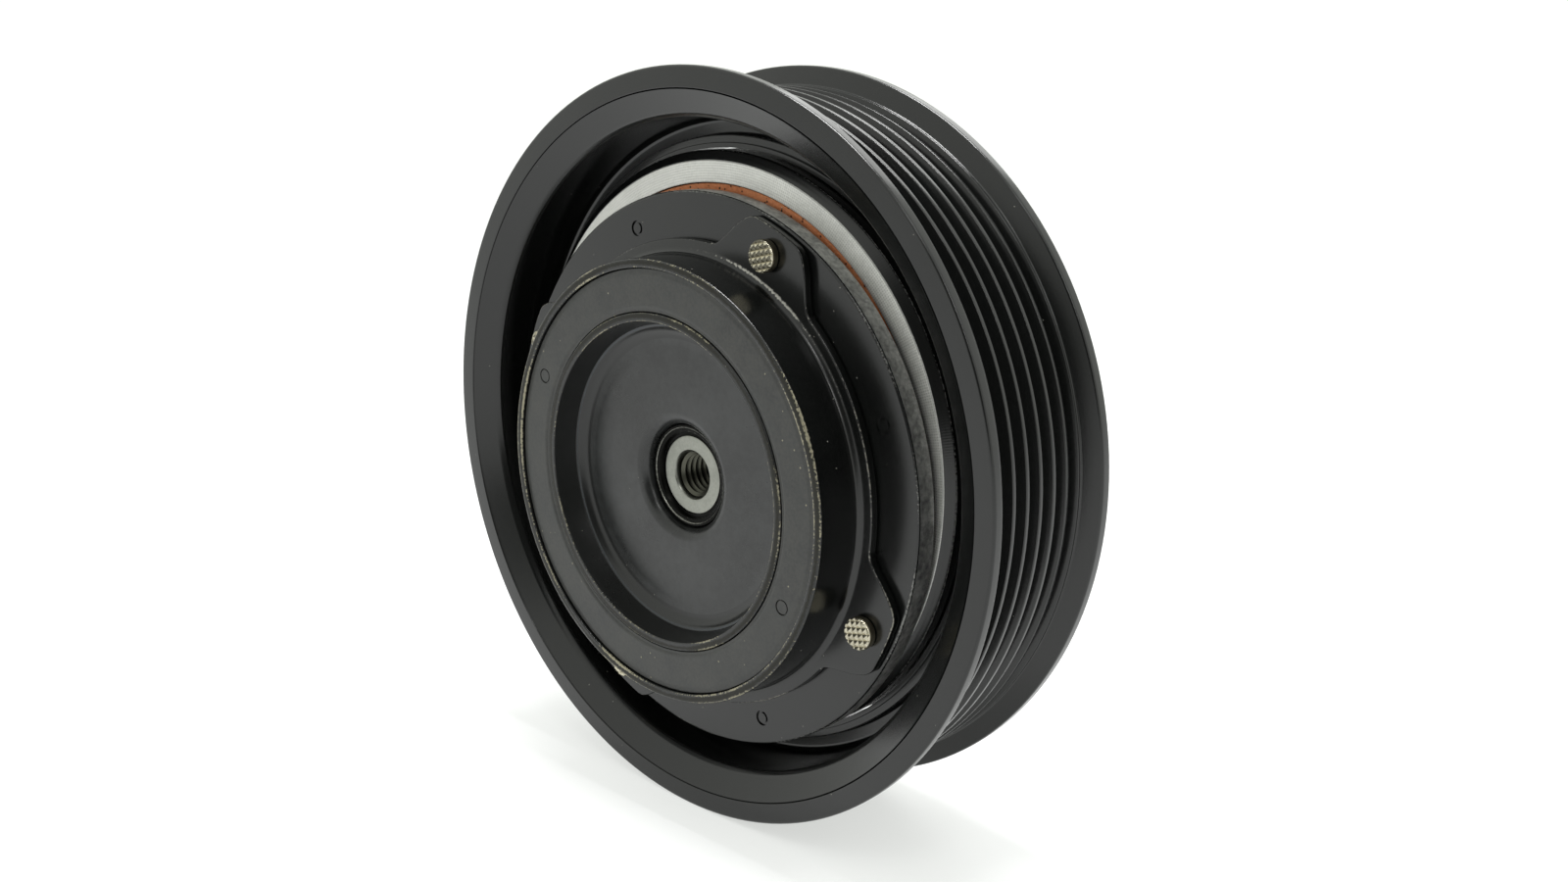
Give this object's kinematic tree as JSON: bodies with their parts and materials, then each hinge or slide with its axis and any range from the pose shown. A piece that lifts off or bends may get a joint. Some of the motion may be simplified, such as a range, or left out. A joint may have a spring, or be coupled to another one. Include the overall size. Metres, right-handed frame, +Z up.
{
  "type": "electromagnetic clutch",
  "caption": "Electromagnetic clutch: ribbed-belt pulley on a ball bearing, ring coil behind its friction face, and a riveted armature on a rubber-damped splined hub.",
  "frame": {"origin": "on the axis of rotation, in the plane of the mounting plate's rear face, where the clutch meets the compressor's nose", "axes": "the axis of rotation is Y; the front of the clutch faces -Y, +Z is up and +X is to the right seen from the front"},
  "size_m": [0.132, 0.0446, 0.132],
  "materials": {
    "black_coat": "satin black dip coat on steel, worn bright along its edges",
    "machined_steel": "turned steel with fine concentric tool marks",
    "friction_lining": "orange-brown pressed friction lining with dark specks",
    "spring_steel": "dark phosphated spring steel",
    "bearing_steel": "ground bearing steel",
    "seal_rubber": "dark brown-black moulded rubber",
    "cage_plastic": "natural moulded nylon",
    "zinc_steel": "pressed steel with a dull zinc plating",
    "copper_wire": "enamelled copper wire in close turns",
    "potting_resin": "dark brown cast resin",
    "rivet_steel": "yellow-passivated steel with a waffle-pressed head",
    "damper_rubber": "slate-grey moulded rubber, faintly mottled"
  },
  "bodies": {
    "stator": {"mounting_plate": "zinc_steel", "locating_pin": "bearing_steel", "coil_snap_ring": "spring_steel", "coil_housing": "zinc_steel", "coil_bobbin": "cage_plastic", "coil_winding": "copper_wire", "coil_potting": "potting_resin", "lead_gland": "seal_rubber", "bearing_inner_ring": "bearing_steel", "nose_snap_ring": "spring_steel"},
    "pulley": {"pulley_rim": "black_coat", "rotor": "machined_steel", "friction_ring": "friction_lining", "rotor_snap_ring": "spring_steel", "bearing_outer_ring": "bearing_steel", "bearing_seal_front": "seal_rubber", "bearing_seal_rear": "seal_rubber"},
    "ball_set": {"bearing_cage": "cage_plastic", "bearing_ball_01": "bearing_steel", "bearing_ball_02": "bearing_steel", "bearing_ball_03": "bearing_steel", "bearing_ball_04": "bearing_steel", "bearing_ball_05": "bearing_steel", "bearing_ball_06": "bearing_steel", "bearing_ball_07": "bearing_steel", "bearing_ball_08": "bearing_steel", "bearing_ball_09": "bearing_steel", "bearing_ball_10": "bearing_steel", "bearing_ball_11": "bearing_steel", "bearing_ball_12": "bearing_steel"},
    "shaft_shim": {"air_gap_shim": "spring_steel"},
    "hub": {"hub_boss": "machined_steel", "hub_cup": "black_coat", "damper_rubber": "damper_rubber"},
    "armature": {"armature_plate": "black_coat", "damper_shell": "black_coat", "ear_rivet_1": "rivet_steel", "ear_rivet_2": "rivet_steel", "ear_rivet_3": "rivet_steel", "ear_rivet_4": "rivet_steel"}
  },
  "joints": [
    {"name": "pulley_spin", "type": "hinge", "parent": "stator", "child": "pulley", "pos_m": [0, 0, 0], "axis": [0, 1, 0], "continuous": true},
    {"name": "ball_set_spin", "type": "hinge", "parent": "stator", "child": "ball_set", "pos_m": [0, 0, 0], "axis": [0, 1, 0], "continuous": true},
    {"name": "hub_seating", "type": "slide", "parent": "stator", "child": "shaft_shim", "axis": [0, 0, 1], "range_m": [0, 0.00375]},
    {"name": "hub_spin", "type": "hinge", "parent": "shaft_shim", "child": "hub", "pos_m": [0, 0, -0.00375], "axis": [0, 1, 0], "continuous": true},
    {"name": "armature_pull", "type": "slide", "parent": "hub", "child": "armature", "axis": [0, 1, 0], "range_m": [0, 0.0005], "stiffness_N_per_m": 40000}
  ],
  "couplings": [
    {"joint": "ball_set_spin", "follows": "pulley_spin", "ratio": 0.57}
  ]
}
